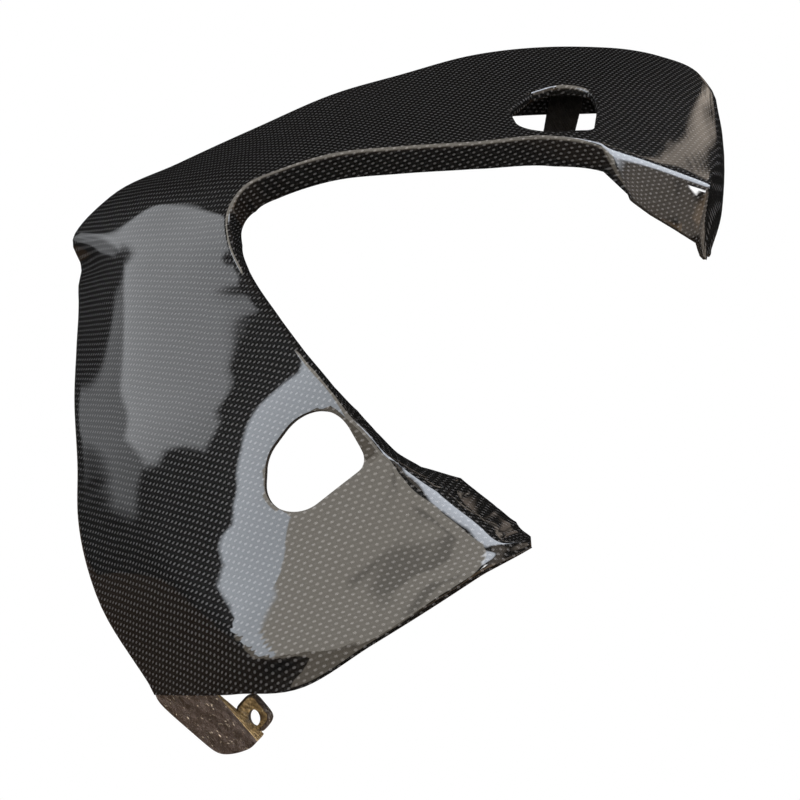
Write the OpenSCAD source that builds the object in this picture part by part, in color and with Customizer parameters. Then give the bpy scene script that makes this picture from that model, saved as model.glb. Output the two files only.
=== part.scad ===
// Left-hand side fairing of a motorcycle: one C-shaped carbon moulding with
// a broad side panel, an upper arm that lies back like a roof and a lower leg.
// The origin is the centre of the lower fixing hole. X runs forward to the
// open mouth of the C, Y runs inward to the motorcycle and Z is up.

/* [Panel] */
// Reach of the side panel, from the lower fixing back to its rear corner
panel_reach = 120; // [108:1:132]
// Reach of the upper arm, from the lower fixing to its end
arm_reach = 243; // [222:1:262]
// Reach of the lower leg, from the lower fixing to its tip
leg_reach = 118; // [108:1:128]
// Height of the lower half, from the lower fixing to the mouth of the C
lower_height = 136; // [125:1:150]
// Height of the upper half, from the mouth of the C to the top of the arm
upper_height = 206; // [190:1:220]
// Depth of the bulge that stands out in front of the lower fixing
bulge_depth = 51; // [46:1:56]
// Depth from the lower fixing back to the rear edge of the arm
roof_depth = 213; // [200:1:228]
// Depth of the hollow in the rear edge, just below its upper corner
hollow_depth = 4.5; // [0:0.5:6]
// Thickness of the laminate
wall = 1.8; // [1.4:0.1:2.6]

/* [Turned edges] */
// Drop of the return below the rear edge of the arm
rear_return = 36; // [28:1:44]
// Width of the return round the side panel and the leg
edge_return = 11; // [8:0.5:14]
// Width of the return round the mouth, at the middle of the arm
mouth_return = 14; // [10:0.5:18]
// Radius of the outer edge of the arm and of the leg
edge_radius = 4; // [2.5:0.5:6]
// Radius of the rear edge of the side panel
panel_radius = 8; // [5:0.5:10]
// Radius of the crest round the mouth
crest_radius = 3.5; // [2.5:0.5:5]
// Radius of the crest round the end of the arm
end_radius = 5.5; // [3.5:0.5:7]

/* [Hole and window] */
// Length of the hole, down the panel
hole_length = 38; // [34:0.5:42]
// Width of the hole, across the panel
hole_width = 43.6; // [38:0.2:48]
// Length of the window, along the arm
window_length = 49.5; // [42:0.5:56]
// Width of the window, across the arm
window_width = 61; // [52:1:66]
// Depth of the lip turned down round the window
window_lip = 3.8; // [3:0.2:6]

/* [Lower bracket] */
// Diameter of the fixing hole, with clearance for an M6 screw
fixing_d = 7; // [6.4:0.1:8]
// Thickness of the ear that holds the fixing hole
ear_thickness = 2.5; // [2:0.5:4]
// Distance from the fixing hole to the free edges of the ear
ear_margin = 6.6; // [6:0.1:8]
// Turn of the fixing hole's axis from the Y axis
ear_turn = 38; // [32:1:44]
// Thickness of the tab and its turned edge
tab_thickness = 2; // [1.6:0.2:2.8]

/* [Upper bracket] */
// Diameter of the upper fixing hole, with clearance for an M6 screw
upper_fixing_d = 6.6; // [6.2:0.1:8]
// Width of the upper bracket
strap_width = 20; // [17:0.5:24]
// Thickness of the upper bracket
strap_thickness = 2.2; // [1.6:0.2:3]
// Drop of the upper fixing hole below the edge of the rear return
strap_drop = 22; // [18:1:26]
// Film of adhesive between a bracket and the moulding
bond = 0.3; // [0.2:0.1:0.5]

/* [Hidden] */

// Sections of the panel, from the tip of the arm round to the tip of the leg.
// Each has its outer edge, knee, middle and inner edge, then the turn of the
// inner return, the turn of the outer return and how sharp the knee is.
SECTIONS = [
    [[226, 137, 216], [225, 133, 212], [223, 129, 210], [221, 125, 210], [0, 0, -2], [-3, 3, 0], 0],
    [[236, 190, 274], [236, 163, 252], [232, 140, 234], [220, 121, 228], [-2, 0, -18], [-10, 4, 2], 0],
    [[243, 209, 317], [239, 181, 292], [232, 148, 267], [221, 118, 245], [-6, -1, -29], [-12, 4, -12], 0],
    [[235, 213, 329], [225, 177, 303], [214, 142, 275], [206, 114, 250], [-2, -6, -29], [-3, 3, -32], 0],
    [[213, 213, 338], [204, 174, 311], [194, 138, 282], [186, 107, 256], [2, -6, -27], [0, 2, -36], 0],
    [[185, 211, 342], [178, 171, 316], [171, 132, 287], [165, 99, 262], [12, -3, -26], [0, 2, -36], 0],
    [[180, 210, 342], [174, 170, 316], [168, 131, 288], [162, 98, 263], [2, 4, -13], [0, 2, -36], 0],
    [[150, 204, 341], [146, 166, 315], [142, 127, 289], [138, 92, 266], [1, 6, -14], [0, 2, -36], 0],
    [[105, 190, 333], [103, 155, 309], [101, 119, 284], [99, 87, 262], [0, 7, -12], [0, 2, -36], 0],
    [[62, 171, 317], [62, 142, 297], [62, 111, 277], [62, 83, 259], [0, 7, -12], [0, 3, -34], 0],
    [[25, 154, 302], [27, 128, 285], [28, 102, 269], [29, 80, 255], [0, 7, -12], [0, 4, -28], 0],
    [[-15, 146, 282], [-9, 120, 269], [-2, 96, 258], [5, 76, 247], [0, 8, -12], [2, 6, -20], 0],
    [[-57, 149, 263], [-40, 116, 253], [-26, 90, 245], [-12, 71, 238], [4, 9, -11], [4, 8, -13], 0],
    [[-97, 160, 246], [-69, 126, 238], [-43, 94, 231], [-19, 66, 225], [5, 14, -5], [7, 9, -7], 0],
    [[-120, 170, 224], [-83, 138, 220], [-49, 98, 216], [-18, 61, 212], [4, 15, -2], [8, 9, -3], 0],
    [[-113, 154, 189], [-79, 118, 190], [-42, 79, 191], [-8, 46, 193], [-1, 17, 3], [7, 9, 0], 0],
    [[-110, 136, 163], [-72, 94, 164], [-28, 50, 167], [10, 16, 170], [-1, 16, 1], [7, 9, 0], 0],
    [[-106.5, 116, 136], [-65, 71, 140], [-18, 28, 148], [22, -2, 155], [-1, 16, 1], [7, 9, 0], 0],
    [[-99.5, 93, 103.5], [-58, 46, 114], [-12, 8, 126], [34, -16, 140], [0, 17, 1], [7, 9, 0], 0.1],
    [[-95, 76, 77], [-52, 29, 91], [-3, -9, 106], [42, -21, 129], [2, 17, 2], [6, 8, 1], 0.4],
    [[-80, 50, 45], [-35, -2, 62], [5, -23, 86], [49, -22, 122], [3, 18, 0], [4, 5, 2], 0.9],
    [[-44, 9, 8], [-4, -40, 41], [16, -32, 71], [56, -22, 114], [5, 20, -1], [-0.6, 0.7, -0.5], 1],
    [[-6, -32, 17], [8, -49, 34], [30, -39, 60], [64, -21, 108], [7, 21, -1], [-0.5, 0.6, -0.6], 0.9],
    [[25, -51, 23], [31, -49, 38], [48, -35, 63], [75, -20, 98], [13, 23, 4], [-1, 5, 1], 0.4],
    [[50, -46, 37], [55, -42, 48], [68, -29, 69], [83, -20, 92], [11, 26, 5], [-1, 9, 2], 0.1],
    [[77, -36, 52], [79, -33, 60], [85, -25, 72], [93, -19, 85], [11, 27, 4], [-1, 10, 2], 0],
    [[98, -26, 64], [98, -24, 69], [99, -21, 73], [101, -18, 78], [11, 24, 5], [-1, 9, 2], 0],
    [[118, -6, 73], [117, -6, 74], [116, -7, 75], [115, -8, 76], [3, 10, 1], [0, 6, 0], 0],
];
OUTER = 0;
KNEE = 1;
MIDDLE = 2;
INNER = 3;
MOUTH_TURN = 4;
EDGE_TURN = 5;
SHARPNESS = 6;

// Sections at the corner of the arm's end and at the lower corner, and how
// sharply the outer edge, knee, middle and inner edge turn there
END_CORNER = 2;
LOWER_CORNER = 21;
END_SHARPNESS = [0, 0, 0.4, 1];
LOWER_SHARPNESS = [1, 1, 0.8, 0];

// The sizes at which the sections are drawn, read from the sections
TOP_SECTION = 5;
ARM_MIDDLE = 9;
HEAD_CORNER = 14;
MOUTH_LEVEL = 17;
BULGE_SECTION = 23;
LEG_TIP = len(SECTIONS) - 1;
drawn_panel = -SECTIONS[HEAD_CORNER][OUTER].x;
drawn_arm = SECTIONS[END_CORNER][OUTER].x;
drawn_leg = SECTIONS[LEG_TIP][OUTER].x;
drawn_level = SECTIONS[MOUTH_LEVEL][OUTER].z;
drawn_upper = SECTIONS[TOP_SECTION][OUTER].z - drawn_level;
drawn_bulge = -SECTIONS[BULGE_SECTION][OUTER].y;
drawn_roof = max([for (s = SECTIONS) s[OUTER].y]);
drawn_mouth_return = norm(SECTIONS[ARM_MIDDLE][MOUTH_TURN]);
drawn_rear_return = norm(SECTIONS[TOP_SECTION][EDGE_TURN]);
drawn_edge_return = norm(SECTIONS[MOUTH_LEVEL][EDGE_TURN]);

// Fineness of the surface
STEPS = 3;
SPAN_STEPS = 4;
FILLET_STEPS = 4;
// Least and greatest reach of a rounded corner, the second as a share of the
// distance to the next point
LEAST_REACH = 0.4;
REACH_SHARE = 0.6;

function unit(v) = v / norm(v);
function mix(a, b, t) = a + (b - a) * t;

// A drawn point carried to the chosen sizes
function placed(p, i) = [
    p.x < 0 ? p.x * panel_reach / drawn_panel
        : p.x * (i <= HEAD_CORNER ? arm_reach / drawn_arm : leg_reach / drawn_leg),
    p.y < 0 ? p.y * bulge_depth / drawn_bulge : p.y * roof_depth / drawn_roof,
    p.z < drawn_level ? p.z * lower_height / drawn_level
        : lower_height + (p.z - drawn_level) * upper_height / drawn_upper
];

// A smooth curve through points, with a corner where sharpness is 1
function slope(p, i) =
    i == 0 ? unit(p[1] - p[0])
    : i == len(p) - 1 ? unit(p[i] - p[i - 1])
    : let (a = p[i] - p[i - 1], b = p[i + 1] - p[i])
        (unit(a) * norm(b) + unit(b) * norm(a)) / (norm(a) + norm(b));
function curve(p, sharpness, i, t) =
    let (
        chord = p[i + 1] - p[i],
        reach = norm(chord),
        leave = mix(slope(p, i) * reach, chord, sharpness[i]),
        arrive = mix(slope(p, i + 1) * reach, chord, sharpness[i + 1])
    )
    p[i] * (1 + 2 * t) * pow(1 - t, 2) + leave * t * pow(1 - t, 2)
        + p[i + 1] * t * t * (3 - 2 * t) - arrive * t * t * (1 - t);

// The four rails that run the length of the panel
function rail_sharpness(k) = [
    for (i = [0:LEG_TIP])
        i == END_CORNER ? END_SHARPNESS[k] : i == LOWER_CORNER ? LOWER_SHARPNESS[k] : 0
];
RAIL_POINTS = [for (k = [OUTER:INNER]) [for (i = [0:LEG_TIP]) placed(SECTIONS[i][k], i)]];
RAIL_SHARPNESS = [for (k = [OUTER:INNER]) rail_sharpness(k)];

// Place along the panel, in sections, as whole section and part
function whole(u) = min(floor(u), LEG_TIP - 1);
HOLLOW_PLACE = 14.42;
HOLLOW_SPAN = 0.27;
function hollow(u) = hollow_depth * exp(-pow((u - HOLLOW_PLACE) / HOLLOW_SPAN, 2));
function rail(k, u) =
    curve(RAIL_POINTS[k], RAIL_SHARPNESS[k], whole(u), u - whole(u))
        + (k == OUTER ? [hollow(u), 0, 0] : [0, 0, 0]);
function between(k, u) =
    mix(SECTIONS[whole(u)][k], SECTIONS[whole(u) + 1][k], u - whole(u));
function mouth_turn(u) = between(MOUTH_TURN, u) * mouth_return / drawn_mouth_return;
function edge_turn(u) =
    between(EDGE_TURN, u) * (u < HEAD_CORNER - 1 ? rear_return / drawn_rear_return
        : edge_return / drawn_edge_return);

// Points across the panel: v runs from 0 at the outer edge to 3 at the inner
function across(u, v) =
    let (i = min(floor(v), INNER - 1))
    curve([for (k = [OUTER:INNER]) rail(k, u)], [0, between(SHARPNESS, u), 0, 0], i, v - i);

// A rounded corner at c, on the way from a to b
function fillet(c, a, b, r) =
    let (
        to_a = unit(a - c),
        to_b = unit(b - c),
        half = acos(max(-1, min(1, to_a * to_b))) / 2,
        t = min(max(r / tan(half), LEAST_REACH), min(norm(a - c), norm(b - c)) * REACH_SHARE)
    )
    [for (n = [0:FILLET_STEPS])
        let (s = n / FILLET_STEPS)
        c + to_a * t * pow(1 - s, 2) + to_b * t * s * s];

// Radii of the outer edge and of the crest, which swell along the side panel
// and at the end of the arm and ease off over one section
function swell(u, start, end) = max(0, min(1, u - start, end - u));
function edge_round(u) =
    mix(edge_radius, panel_radius, swell(u, HEAD_CORNER, LOWER_CORNER));
function crest_round(u) = mix(crest_radius, end_radius, swell(u, -1, TOP_SECTION + 1));

// One line across the moulding, from the outer return to the inner return
function profile(u) =
    let (
        span = [for (n = [0:3 * SPAN_STEPS]) across(u, n / SPAN_STEPS)],
        last = len(span) - 1,
        outer_lip = span[0] + edge_turn(u),
        inner_lip = span[last] + mouth_turn(u)
    )
    concat(
        [outer_lip],
        fillet(span[0], outer_lip, span[1], edge_round(u)),
        [for (n = [1:last - 1]) span[n]],
        fillet(span[last], span[last - 1], inner_lip, crest_round(u)),
        [inner_lip]
    );

GRID = [for (n = [0:LEG_TIP * STEPS]) profile(n / STEPS)];
ROWS = len(GRID);
COLUMNS = len(GRID[0]);
function facing(i, j) =
    let (
        along = GRID[min(i + 1, ROWS - 1)][j] - GRID[max(i - 1, 0)][j],
        over = GRID[i][min(j + 1, COLUMNS - 1)] - GRID[i][max(j - 1, 0)]
    )
    unit(cross(along, over));
FACING = [for (i = [0:ROWS - 1]) [for (j = [0:COLUMNS - 1]) facing(i, j)]];

// A layer of the moulding between two depths below its outer face
module layer(top, bottom, rows = [0, ROWS - 1], columns = [0, COLUMNS - 1]) {
    wide = columns[1] - columns[0] + 1;
    long = rows[1] - rows[0] + 1;
    one_face = wide * long;
    points = [
        for (depth = [top, bottom])
            for (i = [rows[0]:rows[1]])
                for (j = [columns[0]:columns[1]])
                    GRID[i][j] - FACING[i][j] * depth
    ];
    function at(side, i, j) = side * one_face + i * wide + j;
    outside = [
        for (i = [0:long - 2])
            for (j = [0:wide - 2])
                each [
                    [at(0, i, j), at(0, i, j + 1), at(0, i + 1, j + 1)],
                    [at(0, i, j), at(0, i + 1, j + 1), at(0, i + 1, j)]
                ]
    ];
    inside = [for (f = outside) [f[2] + one_face, f[1] + one_face, f[0] + one_face]];
    ends = [
        for (j = [0:wide - 2])
            each [
                [at(0, 0, j + 1), at(0, 0, j), at(1, 0, j)],
                [at(0, 0, j + 1), at(1, 0, j), at(1, 0, j + 1)],
                [at(0, long - 1, j), at(0, long - 1, j + 1), at(1, long - 1, j + 1)],
                [at(0, long - 1, j), at(1, long - 1, j + 1), at(1, long - 1, j)]
            ]
    ];
    sides = [
        for (i = [0:long - 2])
            each [
                [at(0, i, 0), at(0, i + 1, 0), at(1, i + 1, 0)],
                [at(0, i, 0), at(1, i + 1, 0), at(1, i, 0)],
                [at(0, i + 1, wide - 1), at(0, i, wide - 1), at(1, i, wide - 1)],
                [at(0, i + 1, wide - 1), at(1, i, wide - 1), at(1, i + 1, wide - 1)]
            ]
    ];
    polyhedron(points, concat(outside, inside, ends, sides), convexity = 10);
}

// Direction square to the panel's face at a place on it, and a frame there
// with X along the panel and Z out of it
NUDGE = 0.02;
function lift(u, v) =
    unit(cross(
        across(u + NUDGE, v) - across(u - NUDGE, v),
        across(u, v + NUDGE) - across(u, v - NUDGE)
    ));
module seat(u, v) {
    p = across(u, v);
    z = lift(u, v);
    x = unit(across(u + NUDGE, v) - across(u - NUDGE, v));
    y = cross(z, x);
    multmatrix([[x.x, y.x, z.x, p.x], [x.y, y.y, z.y, p.y], [x.z, y.z, z.z, p.z]])
        children();
}

// Round corners of the hole and of the window: centre and radius of each
HOLE_PLACE = [19.7, 2.53];
HOLE_CORNERS = [
    [0.7, -7.9, 14.5], [4.9, 14.1, 6.8], [-5.2, 3.5, 17.7], [-4.5, -3.8, 15.7]
];
WINDOW_PLACE = [7, 2.1];
WINDOW_CORNERS = [
    [-12.3, -17.2, 13.7], [1.8, -17, 6.2], [10.4, 5.8, 12.8], [9.5, 16.1, 13.8],
    [-6.4, 13.5, 11.6], [-10, -7.2, 14.9]
];
CUT = 60;
function low(corners, axis) = min([for (c = corners) c[axis] - c[2]]);
function high(corners, axis) = max([for (c = corners) c[axis] + c[2]]);
function spread(corners, axis) = high(corners, axis) - low(corners, axis);
module opening(corners, length, width) {
    scale([length / spread(corners, 0), width / spread(corners, 1)])
        hull()
            for (c = corners)
                translate([c[0], c[1]])
                    circle(c[2], $fn = 48);
}
module hole_outline() opening(HOLE_CORNERS, hole_length, hole_width);
module window_outline() opening(WINDOW_CORNERS, window_length, window_width);

// The turned-down lip of the window, cut from a thick piece of the arm
WINDOW_ROWS = [15, 29];
WINDOW_COLUMNS = [7, 18];
module window_rim() {
    intersection() {
        layer(wall / 2, window_lip, WINDOW_ROWS, WINDOW_COLUMNS);
        seat(WINDOW_PLACE[0], WINDOW_PLACE[1])
            translate([0, 0, -CUT / 2])
                linear_extrude(CUT)
                    offset(delta = wall)
                        window_outline();
    }
}

// The C-shaped moulding
module shell() {
    color("#2b2b2d")
        difference() {
            union() {
                layer(0, wall);
                window_rim();
            }
            seat(WINDOW_PLACE[0], WINDOW_PLACE[1])
                translate([0, 0, -CUT / 2])
                    linear_extrude(CUT)
                        window_outline();
            seat(HOLE_PLACE[0], HOLE_PLACE[1])
                translate([0, 0, -CUT / 2])
                    linear_extrude(CUT)
                        hole_outline();
        }
}

// A flat plate with the given corners, thickened to both sides
module plate(corners, thickness) {
    count = len(corners);
    out = unit(cross(corners[1] - corners[0], corners[2] - corners[0]));
    flat = [for (c = corners) c - out * (out * (c - corners[0]))];
    points = concat(
        [for (c = flat) c + out * thickness / 2],
        [for (c = flat) c - out * thickness / 2]
    );
    faces = concat(
        [[for (n = [count - 1:-1:0]) n]],
        [[for (n = [0:count - 1]) count + n]],
        [for (n = [0:count - 1]) [n, (n + 1) % count, count + (n + 1) % count, count + n]]
    );
    polyhedron(points, faces);
}

// Places in the ear: p runs down beside the turned edge and q out from it
ear_axis = [sin(ear_turn), cos(ear_turn), 0];
ear_level = [cos(ear_turn), -sin(ear_turn), 0];
function on_ear(p, q) = (ear_level * (p + q) + [0, 0, q - p]) * cos(45);
ear_rise = 9.8;
ear_root = 10.5;
ear_corner = 2;

// The tab runs down from its foot, which is bonded inside the panel
FOOT_ROWS = [63, 66];
FOOT_COLUMNS = [5, 8];
foot_depth = wall + bond;
tab_depth = foot_depth + tab_thickness / 2;
function under(place) =
    across(place[0], place[1]) - lift(place[0], place[1]) * tab_depth;
tab_rear = under([21.01, 0.04]);
tab_front = under([21.62, 0.12]);
TAB_END = [
    [0, -18.5, -2], [3, -18, -5.5], [-2.3, -8.6, -11.2], [-12.5, 5.2, -16.6],
    [-19.7, 11, -15.6], [-39.5, 17, -0.4], [-44.4, 17.5, 4]
];

// The tab's turned edge: its run back at the top, and the two places where it
// meets the ear, in from the ear's own edges
edge_back = [0, 9, -1];
edge_inset = [[1, 3.5], [3, 1]];

// The ear, square to the fixing hole
module ear() {
    rotate([0, 0, -ear_turn])
        rotate([90, 45, 0])
            translate([0, 0, -ear_thickness / 2])
                linear_extrude(ear_thickness)
                    offset(ear_corner, $fn = 32)
                        translate([-ear_rise + ear_corner, -ear_root + ear_corner])
                            square([
                                ear_rise + ear_margin - 2 * ear_corner,
                                ear_root + ear_margin - 2 * ear_corner
                            ]);
}

module lower_bracket() {
    color("#3a332a")
        difference() {
            union() {
                layer(foot_depth, foot_depth + tab_thickness, FOOT_ROWS, FOOT_COLUMNS);
                plate(concat([tab_rear, tab_front], TAB_END), tab_thickness);
                plate(
                    [
                        tab_front,
                        TAB_END[0],
                        on_ear(ear_margin - edge_inset[0].x, edge_inset[0].y - ear_root),
                        on_ear(edge_inset[1].x - ear_rise, edge_inset[1].y - ear_root),
                        tab_front + edge_back
                    ],
                    tab_thickness
                );
                ear();
            }
            rotate([0, 0, -ear_turn])
                rotate([90, 0, 0])
                    cylinder(d = fixing_d, h = 4 * ear_thickness, center = true, $fn = 48);
        }
}

// The upper bracket, bonded behind the rear return of the arm, in a frame that
// follows the edge of the return
STRAP_PLACE = 6.77;
STRAP_ROWS = [17, 23];
strap_lean = 12;
strap_slant = 4;
strap_grip = 24;
strap_root = 4;
strap_lap = 1;
function lip(u) = across(u, 0) + edge_turn(u);
module on_lip() {
    along = lip(STRAP_PLACE - NUDGE) - lip(STRAP_PLACE + NUDGE);
    translate(lip(STRAP_PLACE))
        rotate([0, 0, atan2(along.y, along.x)])
            children();
}
module strap_place() {
    on_lip()
        translate([0, -wall - 2 * bond, 0])
            rotate([90 + strap_lean, 0, 0])
                children();
}
module upper_bracket() {
    depth = wall + bond;
    color("#3a332a")
        difference() {
            union() {
                intersection() {
                    layer(depth, depth + strap_thickness, STRAP_ROWS, [0, 1]);
                    on_lip()
                        translate([-strap_width / 2, -CUT / 2, -strap_lap])
                            cube([strap_width, CUT, strap_grip]);
                }
                strap_place()
                    linear_extrude(strap_thickness)
                        hull() {
                            translate([-strap_width / 2, 0])
                                square([strap_width, strap_root]);
                            translate([-strap_slant, -strap_drop])
                                circle(strap_width / 2 - strap_lap, $fn = 48);
                        }
            }
            strap_place()
                translate([-strap_slant, -strap_drop, -strap_thickness])
                    cylinder(d = upper_fixing_d, h = 3 * strap_thickness, $fn = 48);
        }
}

shell();
lower_bracket();
upper_bracket();
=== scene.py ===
# Left-hand carbon side fairing of a motorcycle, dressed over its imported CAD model
import bpy
import bmesh
import math
import numpy as np
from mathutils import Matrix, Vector
from mathutils.geometry import delaunay_2d_cdt


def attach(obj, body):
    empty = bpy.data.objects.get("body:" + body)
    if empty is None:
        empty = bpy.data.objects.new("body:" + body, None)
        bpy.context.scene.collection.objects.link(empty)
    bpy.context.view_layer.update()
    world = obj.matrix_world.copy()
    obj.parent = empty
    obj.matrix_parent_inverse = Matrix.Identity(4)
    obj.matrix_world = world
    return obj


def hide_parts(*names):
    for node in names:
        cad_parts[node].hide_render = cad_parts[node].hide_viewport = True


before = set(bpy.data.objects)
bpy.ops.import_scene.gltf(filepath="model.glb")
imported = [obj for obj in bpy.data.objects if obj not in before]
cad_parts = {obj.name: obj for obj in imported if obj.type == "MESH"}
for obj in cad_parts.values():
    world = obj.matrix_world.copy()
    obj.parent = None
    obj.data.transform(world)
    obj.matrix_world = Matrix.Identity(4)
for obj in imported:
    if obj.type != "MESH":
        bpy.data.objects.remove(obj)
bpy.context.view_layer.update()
mm = 0.001


def srgb(hexCode):
    # sRGB hex to the linear values that the shader wants
    values = [int(hexCode[i:i + 2], 16) / 255 for i in (1, 3, 5)]
    linear = [v / 12.92 if v <= 0.04045 else ((v + 0.055) / 1.055) ** 2.4 for v in values]
    return (*linear, 1.0)


def unit(v):
    return v / np.linalg.norm(v)


def newMaterial(name):
    material = bpy.data.materials.new(name)
    material.use_nodes = True
    material.node_tree.nodes.clear()
    return material, material.node_tree


def addNode(tree, kind, inputs=None, **settings):
    # one node, its settings and its inputs: a value, another node's output, or the
    # node itself for its first output
    node = tree.nodes.new("ShaderNode" + kind)
    for key, value in settings.items():
        setattr(node, key, value)
    for key, value in (inputs or {}).items():
        if isinstance(value, bpy.types.Node):
            value = value.outputs[0]
        if isinstance(value, bpy.types.NodeSocket):
            tree.links.new(value, node.inputs[key])
        else:
            node.inputs[key].default_value = value
    return node


# Sections from the tip of the arm round to the tip of the leg, in mm from the
# lower fixing hole: outer edge, knee, middle, inner edge, the turn of the inner
# return, the turn of the outer return, and how sharp the knee is
sections = [
    [[226, 137, 216], [225, 133, 212], [223, 129, 210], [221, 125, 210], [0, 0, -2], [-3, 3, 0], 0],
    [[236, 190, 274], [236, 163, 252], [232, 140, 234], [220, 121, 228], [-2, 0, -18], [-10, 4, 2], 0],
    [[243, 209, 317], [239, 181, 292], [232, 148, 267], [221, 118, 245], [-6, -1, -29], [-12, 4, -12], 0],
    [[235, 213, 329], [225, 177, 303], [214, 142, 275], [206, 114, 250], [-2, -6, -29], [-3, 3, -32], 0],
    [[213, 213, 338], [204, 174, 311], [194, 138, 282], [186, 107, 256], [2, -6, -27], [0, 2, -36], 0],
    [[185, 211, 342], [178, 171, 316], [171, 132, 287], [165, 99, 262], [12, -3, -26], [0, 2, -36], 0],
    [[180, 210, 342], [174, 170, 316], [168, 131, 288], [162, 98, 263], [2, 4, -13], [0, 2, -36], 0],
    [[150, 204, 341], [146, 166, 315], [142, 127, 289], [138, 92, 266], [1, 6, -14], [0, 2, -36], 0],
    [[105, 190, 333], [103, 155, 309], [101, 119, 284], [99, 87, 262], [0, 7, -12], [0, 2, -36], 0],
    [[62, 171, 317], [62, 142, 297], [62, 111, 277], [62, 83, 259], [0, 7, -12], [0, 3, -34], 0],
    [[25, 154, 302], [27, 128, 285], [28, 102, 269], [29, 80, 255], [0, 7, -12], [0, 4, -28], 0],
    [[-15, 146, 282], [-9, 120, 269], [-2, 96, 258], [5, 76, 247], [0, 8, -12], [2, 6, -20], 0],
    [[-57, 149, 263], [-40, 116, 253], [-26, 90, 245], [-12, 71, 238], [4, 9, -11], [4, 8, -13], 0],
    [[-97, 160, 246], [-69, 126, 238], [-43, 94, 231], [-19, 66, 225], [5, 14, -5], [7, 9, -7], 0],
    [[-120, 170, 224], [-83, 138, 220], [-49, 98, 216], [-18, 61, 212], [4, 15, -2], [8, 9, -3], 0],
    [[-113, 154, 189], [-79, 118, 190], [-42, 79, 191], [-8, 46, 193], [-1, 17, 3], [7, 9, 0], 0],
    [[-110, 136, 163], [-72, 94, 164], [-28, 50, 167], [10, 16, 170], [-1, 16, 1], [7, 9, 0], 0],
    [[-106.5, 116, 136], [-65, 71, 140], [-18, 28, 148], [22, -2, 155], [-1, 16, 1], [7, 9, 0], 0],
    [[-99.5, 93, 103.5], [-58, 46, 114], [-12, 8, 126], [34, -16, 140], [0, 17, 1], [7, 9, 0], 0.1],
    [[-95, 76, 77], [-52, 29, 91], [-3, -9, 106], [42, -21, 129], [2, 17, 2], [6, 8, 1], 0.4],
    [[-80, 50, 45], [-35, -2, 62], [5, -23, 86], [49, -22, 122], [3, 18, 0], [4, 5, 2], 0.9],
    [[-44, 9, 8], [-4, -40, 41], [16, -32, 71], [56, -22, 114], [5, 20, -1], [-0.6, 0.7, -0.5], 1],
    [[-6, -32, 17], [8, -49, 34], [30, -39, 60], [64, -21, 108], [7, 21, -1], [-0.5, 0.6, -0.6], 0.9],
    [[25, -51, 23], [31, -49, 38], [48, -35, 63], [75, -20, 98], [13, 23, 4], [-1, 5, 1], 0.4],
    [[50, -46, 37], [55, -42, 48], [68, -29, 69], [83, -20, 92], [11, 26, 5], [-1, 9, 2], 0.1],
    [[77, -36, 52], [79, -33, 60], [85, -25, 72], [93, -19, 85], [11, 27, 4], [-1, 10, 2], 0],
    [[98, -26, 64], [98, -24, 69], [99, -21, 73], [101, -18, 78], [11, 24, 5], [-1, 9, 2], 0],
    [[118, -6, 73], [117, -6, 74], [116, -7, 75], [115, -8, 76], [3, 10, 1], [0, 6, 0], 0],
]
shellShape = {
    "wall": 1.8,  # laminate thickness, mm
    "edgeRadius": 4.0,
    "panelRadius": 8.0,  # of the rear edge of the side panel
    "crestRadius": 3.5,
    "headCrestRadius": 2.3,
    "endRadius": 10.0,  # of the crest round the end of the arm
    "legRadius": 19.0,  # of the soft roll of the crest along the leg
    "legEdgeRadius": 17.0,  # of the rolled bottom edge of the leg
    "edgeReturnScale": 0.9649,  # the return is 11 mm wide, and the sections draw it 11.4
    "mouthReturnScale": 1.0077,
    "rearReturnScale": 0.9985,
    "rearReturnEnd": 13,  # the section at which the deep rear return ends
    "rowSteps": 8,  # rows of mesh to each section
    "spanSteps": 30,  # columns across the face
    "filletSteps": 6,
    "lipSteps": 3,
    "cutEdge": 0.8,  # broken edge of the laminate, mm
}
# Where along the moulding each radius holds: start, end and ease, in sections
stretches = {"end": (-1, 6, 1), "head": (10, 21, 1), "panel": (14, 21, 1), "leg": (21.4, 40, 1.6)}
sharpAngle = 50  # degrees: edges sharper than this are broken
holeShape = {
    "place": (19.7, 2.53),
    "size": (38, 43.6),
    "corners": [(0.7, -7.9, 14.5), (4.9, 14.1, 6.8), (-5.2, 3.5, 17.7), (-4.5, -3.8, 15.7)],
}
windowShape = {
    "place": (7, 2.1),
    "size": (49.5, 61),
    "corners": [(-12.3, -17.2, 13.7), (1.8, -17, 6.2), (10.4, 5.8, 12.8), (9.5, 16.1, 13.8),
                (-6.4, 13.5, 11.6), (-10, -7.2, 14.9)],
    "fold": 2.2,  # radius of the turned-down lip
    "upperFold": 3.8,  # the same along the upper side
    "lip": 1.6,  # how far it goes on down below the fold
    "foldSteps": 5,
    "lipSteps": 3,
}
rimSpacing = 1.2  # between the points round a cut, mm
rimClear = 0.7  # face points nearer than this to a rim are left out, mm
legTip = len(sections) - 1
rails = np.array([[s[k] for s in sections] for k in range(4)], float)
knees = [s[6] for s in sections]
mouthTurns = np.array([s[4] for s in sections], float) * shellShape["mouthReturnScale"]
edgeTurns = np.array([s[5] for s in sections], float)
railCorners = {2: (0, 0, 0.4, 1), 21: (1, 1, 0.8, 0)}  # sections where the rails turn sharply
hollow = {"depth": 4.5, "back": 6.0, "place": 14.42, "span": 0.27}  # in the rear edge, in mm and sections
windowDrop = {"more": 0.13, "place": 6.8, "span": 1.6}  # the rear return hangs deeper behind the window
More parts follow.
